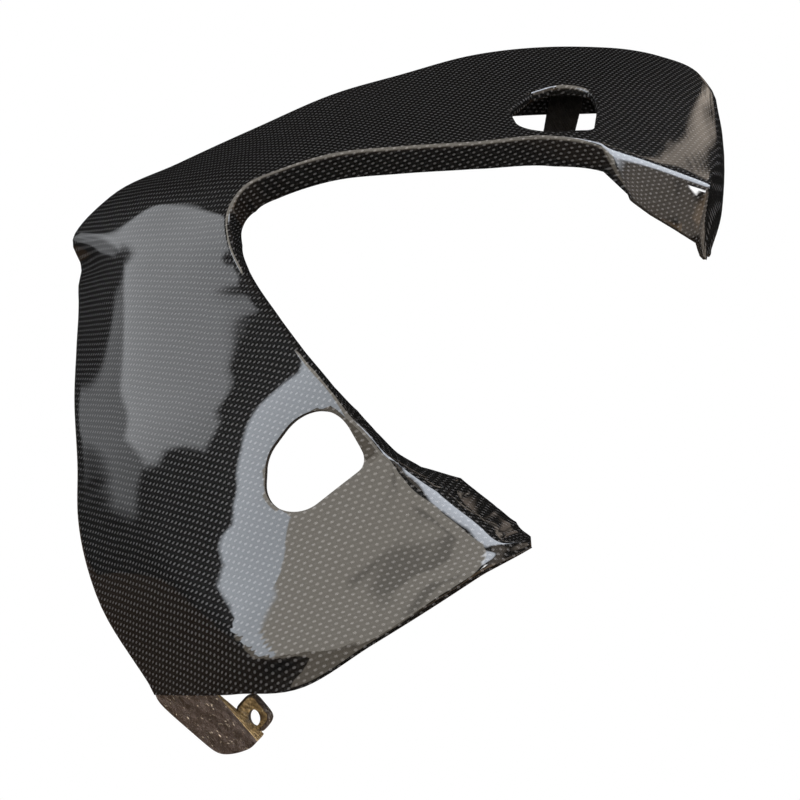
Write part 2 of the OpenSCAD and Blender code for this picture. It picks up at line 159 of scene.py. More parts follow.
# How far the face rolls back towards the rear edge at each section, and how the
# head is eased so that it carries no ripple: steps away from the camera, in mm
rollBack = {12: 3.0, 13: 8.0, 14: 11.5, 15: 10.0, 16: 7.5, 17: 5.5, 18: 4.0, 19: 2.5, 20: 0.8}
headEase = {12: (1.0, 1.0, 1.5, 1.0), 13: (4.0, 2.5, 4.0, 2.5), 14: (-0.5, -6.0, -3.0, -1.0),
            15: (0, -6.5, -4.0, -1.0), 16: (0, -3.0, -1.0, 0), 17: (0, -1.0, 0, 0)}
cameraPlace = np.array([62, -582, 135.5])  # mm


def fromCamera(point, deeper):
    return (point - cameraPlace) * deeper / (point[1] - cameraPlace[1])


for section, back in rollBack.items():
    rails[0][section] += fromCamera(rails[0][section], back)
for section, moves in headEase.items():
    for k, move in enumerate(moves):
        rails[k][section] += fromCamera(rails[k][section], move)


def slopes(points):
    chords = np.diff(points, axis=0)
    lengths = np.linalg.norm(chords, axis=1, keepdims=True)
    units = chords / lengths
    inner = (units[:-1] * lengths[1:] + units[1:] * lengths[:-1]) / (lengths[1:] + lengths[:-1])
    return np.vstack([units[:1], inner, units[-1:]])


def bend(p, t, sharp, slope=None):
    # a smooth curve through points, with a corner where sharp is 1
    i = min(max(int(math.floor(t)), 0), len(p) - 2)
    t -= i
    slope = slopes(p) if slope is None else slope
    chord = p[i + 1] - p[i]
    reach = np.linalg.norm(chord)
    leave = slope[i] * reach * (1 - sharp[i]) + chord * sharp[i]
    arrive = slope[i + 1] * reach * (1 - sharp[i + 1]) + chord * sharp[i + 1]
    return (p[i] * (1 + 2 * t) * (1 - t) ** 2 + leave * t * (1 - t) ** 2
            + p[i + 1] * t * t * (3 - 2 * t) - arrive * t * t * (1 - t))


railSlopes = [slopes(r) for r in rails]
railSharp = [[railCorners[i][k] if i in railCorners else 0 for i in range(legTip + 1)] for k in range(4)]


def between(values, u):
    i = min(int(math.floor(u)), legTip - 1)
    return values[i] + (values[i + 1] - values[i]) * (u - i)


def hump(u, shape):
    # 1 at its place along the moulding, and dying away on both sides
    return math.exp(-((u - shape["place"]) / shape["span"]) ** 2)


def ribPoints(u):
    # the four points of the section at u, with the hollow in the rear edge
    ribs = np.array([bend(rails[k], u, railSharp[k], railSlopes[k]) for k in range(4)])
    ribs[0][:2] += np.array([hollow["depth"], hollow["back"]]) * hump(u, hollow)
    return ribs


def across(u, v):
    return bend(ribPoints(u), v, [0, between(knees, u), 0, 0])


def rearReturn(u):
    return shellShape["rearReturnScale"] * (1 + windowDrop["more"] * hump(u, windowDrop))


def swell(u, start, end, ease):
    # 1 between two places along the moulding, eased off at both
    return max(0, min(1, (u - start) / ease, (end - u) / ease))


def lift(u, v, nudge=0.02):
    onward = across(u + nudge, v) - across(u - nudge, v)
    over = across(u, v + nudge) - across(u, v - nudge)
    return unit(np.cross(onward, over))


def profile(u):
    # one line across the moulding, with the place v of each point of its face
    ribs = ribPoints(u)
    sharp = [0, between(knees, u), 0, 0]
    slope = slopes(ribs)
    vs = np.linspace(0, 3, 241)
    dense = np.array([bend(ribs, v, sharp, slope) for v in vs])
    run = np.concatenate([[0], np.cumsum(np.linalg.norm(np.diff(dense, axis=0), axis=1))])
    total = run[-1]

    def at(length):
        v = np.interp(length, run, vs)
        return bend(ribs, v, sharp, slope), v

    scale = rearReturn(u) if u < shellShape["rearReturnEnd"] else shellShape["edgeReturnScale"]
    outerLip = dense[0] + between(edgeTurns, u) * scale
    innerLip = dense[-1] + between(mouthTurns, u)
    end, head, panel, leg = (swell(u, *stretches[k]) for k in ("end", "head", "panel", "leg"))
    edgeRadius = (shellShape["edgeRadius"] * (1 - panel - leg) + shellShape["panelRadius"] * panel
                  + shellShape["legEdgeRadius"] * leg)
    crestRadius = (shellShape["crestRadius"] * (1 - end - leg - head) + shellShape["endRadius"] * end
                   + shellShape["legRadius"] * leg + shellShape["headCrestRadius"] * head)
    ends = []
    look = min(8, total * 0.3)  # how far in the direction of the face is taken, mm
    for corner, lip, toward, radius in ((dense[0], outerLip, at(look)[0], edgeRadius),
                                        (dense[-1], innerLip, at(total - look)[0], crestRadius)):
        toLip, toFace = unit(lip - corner), unit(toward - corner)
        half = math.acos(max(-1, min(1, float(toLip @ toFace)))) / 2
        # the roll starts this far from the corner, within the room that it has
        reach = min(max(radius / math.tan(half), 0.4), np.linalg.norm(lip - corner) * 0.6, total * 0.3)
        ends.append((corner, lip, toLip, reach))

    def rolled(which):
        # the return and the roll at one side, from the lip in towards the face
        corner, lip, toLip, reach = ends[which]
        face = at(reach if which == 0 else total - reach)[0]
        lipSide = corner + toLip * reach
        flange = [lip + (lipSide - lip) * k / shellShape["lipSteps"] for k in range(shellShape["lipSteps"])]
        return flange + [lipSide * (1 - s) ** 2 + 2 * corner * s * (1 - s) + face * s * s
                         for s in np.linspace(0, 1, shellShape["filletSteps"] + 1)[:-1]]

    points = rolled(0)
    places = [-1] * len(points)
    for length in np.linspace(ends[0][3], total - ends[1][3], shellShape["spanSteps"] + 1):
        p, v = at(length)
        points.append(p)
        places.append(v)
    farSide = rolled(1)[::-1]
    return np.array(points + farSide), places + [4] * len(farSide)


print("moulding: drawing the face")
rowCount = legTip * shellShape["rowSteps"] + 1
us = [i / shellShape["rowSteps"] for i in range(rowCount)]
drawn = [profile(u) for u in us]
grid = np.array([line for line, places in drawn])
gridPlaces = np.array([places for line, places in drawn])  # below 0 and above 3 on the returns
columnCount = grid.shape[1]

# The cloth as it was laid: its flat coordinates in mm, run out from the middle of
# the moulding along and across it, and on over the edges
cloth = {"facing": (-0.30, -0.86, 0.41), "turn": 23}
clothOut = unit(np.array(cloth["facing"]))
clothX = np.array([math.cos(math.radians(cloth["turn"])), 0, math.sin(math.radians(cloth["turn"]))])
clothX = unit(clothX - clothOut * (clothX @ clothOut))
clothY = np.cross(clothOut, clothX)


def onCloth(step):
    return np.array([step @ clothX, step @ clothY])


def laid(step, heading=None):
    flat = onCloth(step) if heading is None else heading
    return flat * np.linalg.norm(step) / max(np.linalg.norm(flat), 1e-6)


clothGrid = np.zeros((rowCount, columnCount, 2))
spine = columnCount // 2
for i in range(rowCount):
    if i:
        clothGrid[i, spine] = clothGrid[i - 1, spine] + laid(grid[i, spine] - grid[i - 1, spine])
    for way in (1, -1):
        j, heading = spine, None
        while 0 <= j + way < columnCount:
            step = grid[i, j + way] - grid[i, j]
            if 0 <= gridPlaces[i, j + way] <= 3:
                heading = onCloth(step)
            clothGrid[i, j + way] = clothGrid[i, j] + laid(step, heading)
            j += way


def outline(shape):
    # the cut's outline in its own plane: round corners, joined by straight sides
    angles = np.linspace(0, 2 * math.pi, 73)[:-1]
    cloud = sorted((x + r * math.cos(a), y + r * math.sin(a)) for x, y, r in shape["corners"] for a in angles)

    def halfHull(points):
        chain = []
        for p in points:
            while len(chain) > 1 and ((chain[-1][0] - chain[-2][0]) * (p[1] - chain[-2][1])
                                      - (chain[-1][1] - chain[-2][1]) * (p[0] - chain[-2][0])) <= 0:
                chain.pop()
            chain.append(p)
        return chain[:-1]

    hull = np.array(halfHull(cloud) + halfHull(cloud[::-1]))
    hull *= np.array(shape["size"]) / (hull.max(0) - hull.min(0))
    loop = np.vstack([hull, hull[:1]])
    run = np.concatenate([[0], np.cumsum(np.linalg.norm(np.diff(loop, axis=0), axis=1))])
    steps = np.linspace(0, run[-1], int(run[-1] / rimSpacing) + 1)[:-1]
    even = np.column_stack([np.interp(steps, run, loop[:, k]) for k in (0, 1)])
    tangent = np.roll(even, -1, axis=0) - np.roll(even, 1, axis=0)
    outward = np.column_stack([tangent[:, 1], -tangent[:, 0]])
    outward /= np.linalg.norm(outward, axis=1, keepdims=True)
    return even, outward


def seatFrame(place):
    u, v = place
    z = lift(u, v)
    x = unit(across(u + 0.02, v) - across(u - 0.02, v))
    return across(u, v), x, np.cross(z, x), z


def onFace(seat, place, target):
    # the point of the face that lies over a point of the cut's plane
    origin, x, y, z = seat
    u, v = place

    def flat(a, b):
        d = across(a, b) - origin
        return np.array([d @ x, d @ y])

    nudge = 0.01
    for _ in range(6):
        here = flat(u, v)
        move = np.column_stack([(flat(u + nudge, v) - here) / nudge, (flat(u, v + nudge) - here) / nudge])
        du, dv = np.linalg.solve(move, target - here)
        u, v = u + du, v + dv
    return (u, v), across(u, v)


def inside(point, loop):
    # for a loop that is convex
    a, b = loop, np.roll(loop, -1, axis=0)
    return bool(np.all((b[:, 0] - a[:, 0]) * (point[1] - a[:, 1])
                       - (b[:, 1] - a[:, 1]) * (point[0] - a[:, 0]) > -1e-9))


def insideAny(point, loop):
    # even-odd test for a loop of any shape
    hit = False
    for a, b in zip(loop, np.roll(loop, -1, axis=0)):
        if (a[1] > point[1]) != (b[1] > point[1]):
            if point[0] < a[0] + (b[0] - a[0]) * (point[1] - a[1]) / (b[1] - a[1]):
                hit = not hit
    return hit


def buildShell():
    mesh = bmesh.new()
    cuts = []
    gone, skipFaces, clothAt = set(), set(), {}
    for shape in (holeShape, windowShape):
        loop, outward = outline(shape)
        folds = np.zeros(len(loop))
        if shape is windowShape:
            folds = shape["fold"] + (shape["upperFold"] - shape["fold"]) * np.maximum(0, -outward[:, 1])
        loop = loop + outward * folds[:, None]
        seat = seatFrame(shape["place"])
        origin, x, y, z = seat
        place, rim, rimPlaces = shape["place"], [], []
        for target in loop:
            place, p = onFace(seat, place, target)
            rim.append(p)
            rimPlaces.append(place)
        flatGrid = np.stack([(grid - origin) @ x, (grid - origin) @ y], axis=-1)
        uLow, uHigh = min(q[0] for q in rimPlaces), max(q[0] for q in rimPlaces)
        rowLow = int(uLow * shellShape["rowSteps"]) - 1
        rowHigh = int(math.ceil(uHigh * shellShape["rowSteps"])) + 1
        vLow, vHigh = min(q[1] for q in rimPlaces), max(q[1] for q in rimPlaces)
        faceColumns = [j for j in range(columnCount) if 0 <= gridPlaces[rowLow, j] <= 3]
        columnLow = max(j for j in faceColumns if np.all(gridPlaces[rowLow:rowHigh + 1, j] < vLow)) - 1
        columnHigh = min([j for j in faceColumns if np.all(gridPlaces[rowLow:rowHigh + 1, j] > vHigh)]
                         or [faceColumns[-1]])
        cuts.append((shape, seat, loop, folds, outward, rim, rimPlaces, flatGrid,
                     (rowLow, rowHigh, columnLow, columnHigh)))
        keep = loop + outward * rimClear
        for i in range(rowLow, rowHigh + 1):
            for j in range(columnLow, columnHigh + 1):
                edge = i in (rowLow, rowHigh) or j in (columnLow, columnHigh)
                if not edge and inside(flatGrid[i, j], keep):
                    gone.add((i, j))
                if i < rowHigh and j < columnHigh:
                    skipFaces.add((i, j))
    verts = {}
    for i in range(rowCount):
        for j in range(columnCount):
            if (i, j) not in gone:
                verts[i, j] = mesh.verts.new(grid[i, j] * mm)
                clothAt[verts[i, j]] = clothGrid[i, j]
    for i in range(rowCount - 1):
        for j in range(columnCount - 1):
            if (i, j) not in skipFaces:
                mesh.faces.new([verts[i, j], verts[i, j + 1], verts[i + 1, j + 1], verts[i + 1, j]])
    for shape, seat, loop, folds, outward, rim, rimPlaces, flatGrid, region in cuts:
        rowLow, rowHigh, columnLow, columnHigh = region
        origin, x, y, z = seat
        rimVerts = [mesh.verts.new(p * mm) for p in rim]
        for vert, p in zip(rimVerts, rim):
            near = np.linalg.norm(grid - p, axis=2)
            i, j = np.unravel_index(np.argmin(near), near.shape)
            clothAt[vert] = clothGrid[i, j] + onCloth(p - grid[i, j])
        flat, owners = [], []
        for i in range(rowLow, rowHigh + 1):
            for j in range(columnLow, columnHigh + 1):
                if (i, j) in verts:
                    flat.append(Vector(flatGrid[i, j]))
                    owners.append(verts[i, j])
        border = ([(rowLow, j) for j in range(columnLow, columnHigh)]
                  + [(i, columnHigh) for i in range(rowLow, rowHigh)]
                  + [(rowHigh, j) for j in range(columnHigh, columnLow, -1)]
                  + [(i, columnLow) for i in range(rowHigh, rowLow, -1)])
        index = {v: n for n, v in enumerate(owners)}
        borderIds = [index[verts[b]] for b in border]
        start = len(owners)
        flat += [Vector(p) for p in loop]
        owners += rimVerts
        count = len(loop)
        edges = [(borderIds[k], borderIds[(k + 1) % len(borderIds)]) for k in range(len(borderIds))]
        edges += [(start + k, start + (k + 1) % count) for k in range(count)]
        outFaces, origVerts = delaunay_2d_cdt(flat, edges, [], 0, 1e-6)[2:4]
        borderLoop = np.array([flat[b] for b in borderIds])
        for face in outFaces:
            ids = [origVerts[k][0] for k in face]
            middle = sum((flat[k] for k in ids), Vector((0, 0))) / len(ids)
            if inside(np.array(middle), loop) or not insideAny(middle, borderLoop):
                continue
            mesh.faces.new([owners[k] for k in ids])
        if shape is windowShape:
            rings = [rimVerts]
            foldSteps, lipSteps = shape["foldSteps"], shape["lipSteps"]
            for k in range(1, foldSteps + lipSteps + 1):
                ring = []
                for n in range(count):
                    fold = folds[n]
                    inward = -(outward[n][0] * x + outward[n][1] * y)
                    face = lift(*rimPlaces[n])
                    first = rim[n]
                    knee = first + unit(inward - face * (inward @ face)) * fold
                    last = first + inward * fold - z * fold
                    if k <= foldSteps:
                        s = k / foldSteps
                        p = first * (1 - s) ** 2 + 2 * knee * s * (1 - s) + last * s * s
                    else:
                        p = last - z * shape["lip"] * (k - foldSteps) / lipSteps
                    ring.append(mesh.verts.new(p * mm))
                    clothAt[ring[-1]] = clothAt[rimVerts[n]] + laid(p - first, onCloth(inward))
                rings.append(ring)
            for a, b in zip(rings, rings[1:]):
                for n in range(count):
                    mesh.faces.new([a[n], a[(n + 1) % count], b[(n + 1) % count], b[n]])
    for i in (0, rowCount - 1):
        mesh.faces.new([verts[i, j] for j in range(columnCount)])  # the tips are closed
    loose = [v for v in mesh.verts if not v.link_faces]
    bmesh.ops.delete(mesh, geom=loose, context="VERTS")
    bmesh.ops.recalc_face_normals(mesh, faces=mesh.faces)
    layer = mesh.loops.layers.uv.new("cloth")
    for face in mesh.faces:
        for corner in face.loops:
            corner[layer].uv = clothAt[corner.vert]
    return mesh


def addPiece(name, mesh, material):
    data = bpy.data.meshes.new(name)
    mesh.to_mesh(data)
    mesh.free()
    data.materials.append(material)
    for polygon in data.polygons:
        polygon.use_smooth = True
    piece = bpy.data.objects.new(name, data)
    bpy.context.scene.collection.objects.link(piece)
    return piece


def breakEdges(piece, width, slot=-1):
    bevel = piece.modifiers.new("brokenEdge", "BEVEL")
    bevel.width = width * mm
    bevel.segments = 2
    bevel.material = slot
    bevel.limit_method = "ANGLE"
    bevel.angle_limit = math.radians(sharpAngle)


def thicken(piece, thickness, offset):
    laminate = piece.modifiers.new("laminate", "SOLIDIFY")
    laminate.thickness = thickness * mm
    laminate.offset = offset
    return laminate


def wovenCarbon(name, look):
    # plain weave: x runs across the warp tows and y across the weft tows
    material, tree = newMaterial(name)
    cloth = addNode(tree, "UVMap", uv_map="cloth")
    drift = addNode(tree, "TexNoise", {"Vector": cloth, "Scale": 0.05, "Detail": 1.0})
    wander = addNode(tree, "VectorMath", {0: drift.outputs["Color"], 1: (0.5, 0.5, 0.5)},
                     operation="SUBTRACT")
    sway = addNode(tree, "VectorMath", {0: wander, "Scale": look["wander"]}, operation="SCALE")
    placed = addNode(tree, "VectorMath", {0: cloth, 1: sway}, operation="ADD")
    tows = addNode(tree, "VectorMath", {0: placed, "Scale": 1 / look["tow"]}, operation="SCALE")
    part = addNode(tree, "VectorMath", {0: tows}, operation="FRACTION")
    cell = addNode(tree, "VectorMath", {0: tows}, operation="FLOOR")
    px = addNode(tree, "SeparateXYZ", {0: part})
    cx = addNode(tree, "SeparateXYZ", {0: cell})
    both = addNode(tree, "Math", {0: cx, 1: cx.outputs[1]}, operation="ADD")
    odd = addNode(tree, "Math", {0: both, 1: 2.0}, operation="FLOORED_MODULO")
    side = addNode(tree, "Math", {0: odd, 1: -2.0, 2: 1.0}, operation="MULTIPLY_ADD")
    heights = []
    for onward, over, sign in ((1, 0, 1.0), (0, 1, -1.0)):
        angle = addNode(tree, "Math", {0: px.outputs[onward], 1: math.pi}, operation="MULTIPLY")
        wave = addNode(tree, "Math", {0: angle}, operation="SINE")
        crown = addNode(tree, "Math", {0: wave, 1: side}, operation="MULTIPLY")
        middle = addNode(tree, "Math", {0: px.outputs[over], 1: 2.0, 2: -1.0}, operation="MULTIPLY_ADD")
        square = addNode(tree, "Math", {0: middle, 1: 2.0}, operation="POWER")
        bulge = addNode(tree, "Math", {0: square, 1: -0.45, 2: 0.45}, operation="MULTIPLY_ADD")
        heights.append(addNode(tree, "Math", {0: crown, 1: 0.55 * sign,
                                              2: bulge}, operation="MULTIPLY_ADD"))
    warpOver = addNode(tree, "Math", {0: heights[0], 1: heights[1]}, operation="SUBTRACT")
    warp = addNode(tree, "MapRange", {0: warpOver, 1: -0.05, 2: 0.05}, interpolation_type="SMOOTHSTEP")
    height = addNode(tree, "Math", {0: heights[0], 1: heights[1]}, operation="MAXIMUM")
    # the crown of each tow, where its painted sheen shows: a slim oval, long in x on both sets of tows
    middles = addNode(tree, "VectorMath", {0: part, 1: (0.5, 0.5, 0.0)}, operation="SUBTRACT")
    long, wide = look["dot"]
    oval = addNode(tree, "VectorMath", {0: middles, 1: (1 / long, 1 / wide, 0)}, operation="MULTIPLY")
    away = addNode(tree, "VectorMath", {0: oval}, operation="LENGTH")
    crest = addNode(tree, "MapRange", {0: away.outputs["Value"], 1: 1.0, 2: 0.35, 3: 0.0, 4: 1.0},
                    interpolation_type="SMOOTHSTEP")
    # filaments: fine streaks that run along whichever tow is on top
    streaks = []
    for stretch in ((look["filament"], 0.6, 1), (0.6, look["filament"], 1)):
        drawnOut = addNode(tree, "VectorMath", {0: placed, 1: stretch}, operation="MULTIPLY")
        streaks.append(addNode(tree, "TexNoise", {"Vector": drawnOut, "Scale": 1.0,
                                                  "Detail": 2.0, "Roughness": 0.6}))
    streak = addNode(tree, "Mix", {0: warp, 2: streaks[1].outputs["Fac"],
                                   3: streaks[0].outputs["Fac"]}, data_type="FLOAT")
    share = addNode(tree, "MapRange", {0: warp, 3: look["weftDot"]})
    crownSheen = addNode(tree, "Math", {0: crest, 1: share}, operation="MULTIPLY")
    # painted sheen: the crown ovals lighten the base colour from the weft tone to the warp tone
    tone = addNode(tree, "Mix", {0: crownSheen, 6: srgb(look["weft"]),
                                 7: srgb(look["warp"])}, data_type="RGBA")
    grain = addNode(tree, "MapRange", {0: streak, 1: 0.3, 2: 0.7, 3: 0.75, 4: 1.2})
    colour = addNode(tree, "VectorMath", {0: tone.outputs[2], "Scale": grain}, operation="SCALE")
    gloss = addNode(tree, "MapRange", {0: crownSheen, 3: look["weftShine"], 4: look["warpShine"]})
    rough = addNode(tree, "MapRange", {0: streak, 1: 0.3, 2: 0.7,
                                       3: look["rough"] - 0.05, 4: look["rough"] + 0.08})
    turned = addNode(tree, "MapRange", {0: warp, 3: 0.25, 4: 0.0})
    tangent = addNode(tree, "Tangent", direction_type="UV_MAP", uv_map="cloth")
    relief = addNode(tree, "Math", {0: streak, 1: 0.12, 2: height}, operation="MULTIPLY_ADD")
    bump = addNode(tree, "Bump", {"Strength": 1.0, "Distance": look["relief"] * mm, "Height": relief})
    shader = addNode(tree, "BsdfPrincipled", {
        "Base Color": colour, "Roughness": rough, "Specular IOR Level": gloss,
        "Normal": bump, "Anisotropic": look["anisotropy"], "Anisotropic Rotation": turned,
        "Tangent": tangent, "Coat Weight": look["coat"], "Coat Roughness": look["coatRough"],
        "Coat IOR": 1.5})
    addNode(tree, "OutputMaterial", {"Surface": shader})
    return material


# Plain weave of 3K carbon tows under a deep, polished clear lacquer: the crowns
# of one set of tows carry a painted sheen, grey dots painted on near black, under hard mirror gloss
lacquerLook = {
    "tow": 2.0,  # tow width, mm
    "wander": 1.2,  # how far the tows stray from straight, mm
    "filament": 5.0,  # streaks per mm: real filaments are 0.007 mm, drawn as coarse as shows
    # crown colour, lightened from near black as painted sheen
    "warp": "#363638",
    "weft": "#090909",
    "dot": (0.58, 0.35),  # half length and half width of a crown's painted sheen, in tow widths
    "weftDot": 0.12,  # how much of a crown's painted sheen the other set of tows shows
    "warpShine": 0.22,
    "weftShine": 0.03,
    "rough": 0.45,
    "anisotropy": 0.5,
    "relief": 0.10,
    "coat": 1.0,
    "coatRough": 0.015,
}
lacqueredCarbon = wovenCarbon("lacqueredCarbon", lacquerLook)

# The sawn rim of the laminate, sanded and left dull, with specks of resin and fibre
cutLook = {"grain": 1800.0, "fibre": "#0e0d0d", "resin": "#2b2723", "rough": 0.4}  # grain per metre


def sandedCut(name, look):
    material, tree = newMaterial(name)
    place = addNode(tree, "TexCoord")
    plies = addNode(tree, "TexNoise", {"Vector": place.outputs["Object"], "Scale": look["grain"],
                                       "Detail": 2.0})
    ply = addNode(tree, "MapRange", {0: plies.outputs["Fac"], 1: 0.3, 2: 0.7})
    tone = addNode(tree, "Mix", {0: ply, 6: srgb(look["fibre"]), 7: srgb(look["resin"])}, data_type="RGBA")
    shader = addNode(tree, "BsdfPrincipled", {"Base Color": tone.outputs[2], "Roughness": look["rough"]})
    addNode(tree, "OutputMaterial", {"Surface": shader})
    return material


cutLaminate = sandedCut("cutLaminate", cutLook)

moulding = addPiece("fairingMoulding", buildShell(), lacqueredCarbon)
print("moulding:", len(moulding.data.vertices), "points,", len(moulding.data.polygons), "faces")
moulding.data.materials.append(cutLaminate)
thicken(moulding, shellShape["wall"], -1).material_offset_rim = 1
breakEdges(moulding, shellShape["cutEdge"], 1)
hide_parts("shell")
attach(moulding, "root")

# Lower bracket: a tab with a wall turned back along one side, and an ear on the
# wall with a raised rim. Points in mm, and the ear's outline in its own plane,
# where p runs down beside the wall and q out from it
tabShape = {
    "thickness": 2.0,
    "rear": (-39.8, 8.7, 9.7),
    "foldTop": (-16.1, -18.8, 16.5),
    "foldEnd": (3.0, -18.4, -5.6),
    "end": [(0.6, -13.4, -9.0), (-2.8, -8.0, -11.6), (-7.2, -2.2, -14.4), (-12.2, 4.9, -16.4),
            (-15.6, 8.8, -16.6), (-19.4, 10.9, -15.3), (-29.0, 13.9, -8.2), (-39.2, 16.9, -0.6),
            (-43.6, 17.4, 3.7), (-44.2, 15.6, 9.0)],
    "wallEdge": [(-20, -11.4), (-9.5, -7.4), (5.5, -2.3), (8.3, -1.6)],
    "wallBow": 0.36,
    "wallSteps": 10,
    "foldPoints": 24,
    "endPoints": 46,
    "rearPoints": 14,
    "grid": 2.5,  # between the points inside the tab
    "gridClear": 1.4,  # from them to its border
    "ear": [(-9.5, -7.4), (-9.2, 4.0), (-7.6, 7.0), (-4.6, 8.0), (3.4, 9.2), (5.9, 8.6), (6.9, 6.2),
            (7.0, 2.0), (6.6, -1.9)],
    "earTurn": 38,  # degrees, of its plane about the vertical
    "bore": 3.5,
    "rim": 1.3,
    "brokenEdge": 0.8,
}
earTurn = math.radians(tabShape["earTurn"])
earAcross = np.array([math.cos(earTurn), -math.sin(earTurn), 0])


def onEar(p, q):
    return (earAcross * (p + q) + np.array([0, 0, q - p])) * math.cos(math.pi / 4)


def along(points, count):
    # evenly spaced points on a line through points, smoothed at its corners
    points = np.array(points, float)
    for _ in range(2):
        a, b = points[:-1], points[1:]
        cut = np.stack([a * 0.75 + b * 0.25, a * 0.25 + b * 0.75], 1).reshape(-1, 3)
        points = np.vstack([points[:1], cut[1:-1], points[-1:]])
    run = np.concatenate([[0], np.cumsum(np.linalg.norm(np.diff(points, axis=0), axis=1))])
    return np.column_stack([np.interp(np.linspace(0, run[-1], count), run, points[:, k]) for k in range(3)])


def buildTab():
    mesh = bmesh.new()
    top, end, rear = (np.array(tabShape[k]) for k in ("foldTop", "foldEnd", "rear"))
    count = tabShape["foldPoints"]
    fold = [top + (end - top) * t for t in np.linspace(0, 1, count)]
    border = along([end] + [np.array(q) for q in tabShape["end"]] + [rear], tabShape["endPoints"])
    out = unit(np.cross(end - top, rear - top))
    x = unit(end - top)
    y = np.cross(out, x)
    loop = fold + [q - out * (out @ (q - top)) for q in border[1:]]
    loop += [rear + (top - rear) * t for t in np.linspace(0, 1, tabShape["rearPoints"])[1:-1]]
    flat = [Vector(((q - top) @ x, (q - top) @ y)) for q in loop]
    size = len(loop)
    ring = [mesh.verts.new(q * mm) for q in loop]
    owners = list(ring)
    low, high = np.min(flat, axis=0), np.max(flat, axis=0)
    edgeLoop = np.array(flat)
    for a in np.arange(low[0] + 2, high[0], tabShape["grid"]):
        for b in np.arange(low[1] + 2, high[1], tabShape["grid"]):
            gap = np.min(np.hypot(edgeLoop[:, 0] - a, edgeLoop[:, 1] - b))
            if gap > tabShape["gridClear"] and insideAny((a, b), edgeLoop):
                flat.append(Vector((a, b)))
                owners.append(mesh.verts.new((top + x * a + y * b) * mm))
    edges = [(k, (k + 1) % size) for k in range(size)]
    outFaces, origVerts = delaunay_2d_cdt(flat, edges, [], 1, 1e-6)[2:4]
    for face in outFaces:
        mesh.faces.new([owners[origVerts[k][0]] for k in face])
    outer = along([onEar(p, q) for p, q in tabShape["wallEdge"]], count)
    rows = [ring[:count]]
    steps = tabShape["wallSteps"]
    for k in range(1, steps + 1):
        t = k / steps
        bow = out * math.sin(t * math.pi) * tabShape["wallBow"]
        rows.append([mesh.verts.new((fold[n] * (1 - t) + outer[n] * t - bow) * mm) for n in range(count)])
    # the wall takes the golden resin with its painted highlight
    for a, b in zip(rows, rows[1:]):
        for n in range(count - 1):
            mesh.faces.new([a[n], b[n], b[n + 1], a[n + 1]]).material_index = 1
    bmesh.ops.recalc_face_normals(mesh, faces=mesh.faces)
    return mesh


def ringPlate(origin, x, y, outline, bore, rings, goldenHighlightRings=(), count=72):
    # a closed plate round a bore: rings of (inset from the outline, height), with None
    # for the bore, and those whose faces take the second material
    z = np.cross(x, y)
    mesh = bmesh.new()
    loop = np.array(outline, float)
    loops = []
    for inset, height in rings:
        ring = []
        for n in range(count):
            a = 2 * math.pi * n / count
            d = np.array([math.cos(a), math.sin(a)])
            if inset is None:
                r = bore
            else:
                hits = []
                for p, q in zip(loop, np.roll(loop, -1, axis=0)):
                    solve = np.column_stack([d, p - q])
                    if abs(np.linalg.det(solve)) > 1e-9:
                        r, t = np.linalg.solve(solve, p)
                        if r > 0 and -1e-6 <= t <= 1 + 1e-6:
                            hits.append(r)
                r = max(min(hits) - inset, bore + 0.25)
            ring.append(mesh.verts.new((origin + x * d[0] * r + y * d[1] * r + z * height) * mm))
        loops.append(ring)
    for k, (a, b) in enumerate(zip(loops, loops[1:] + loops[:1])):
        for n in range(count):
            face = mesh.faces.new([a[n], a[(n + 1) % count], b[(n + 1) % count], b[n]])
            face.material_index = int(k in goldenHighlightRings)
    bmesh.ops.recalc_face_normals(mesh, faces=mesh.faces)
    return mesh


def softened(corners, rounds=3):
    # corners cut back round a closed outline
    loop = np.array(corners, float)
    for _ in range(rounds):
        after = np.roll(loop, -1, axis=0)
        loop = np.stack([loop * 0.8 + after * 0.2, loop * 0.2 + after * 0.8], 1).reshape(-1, 2)
    return loop


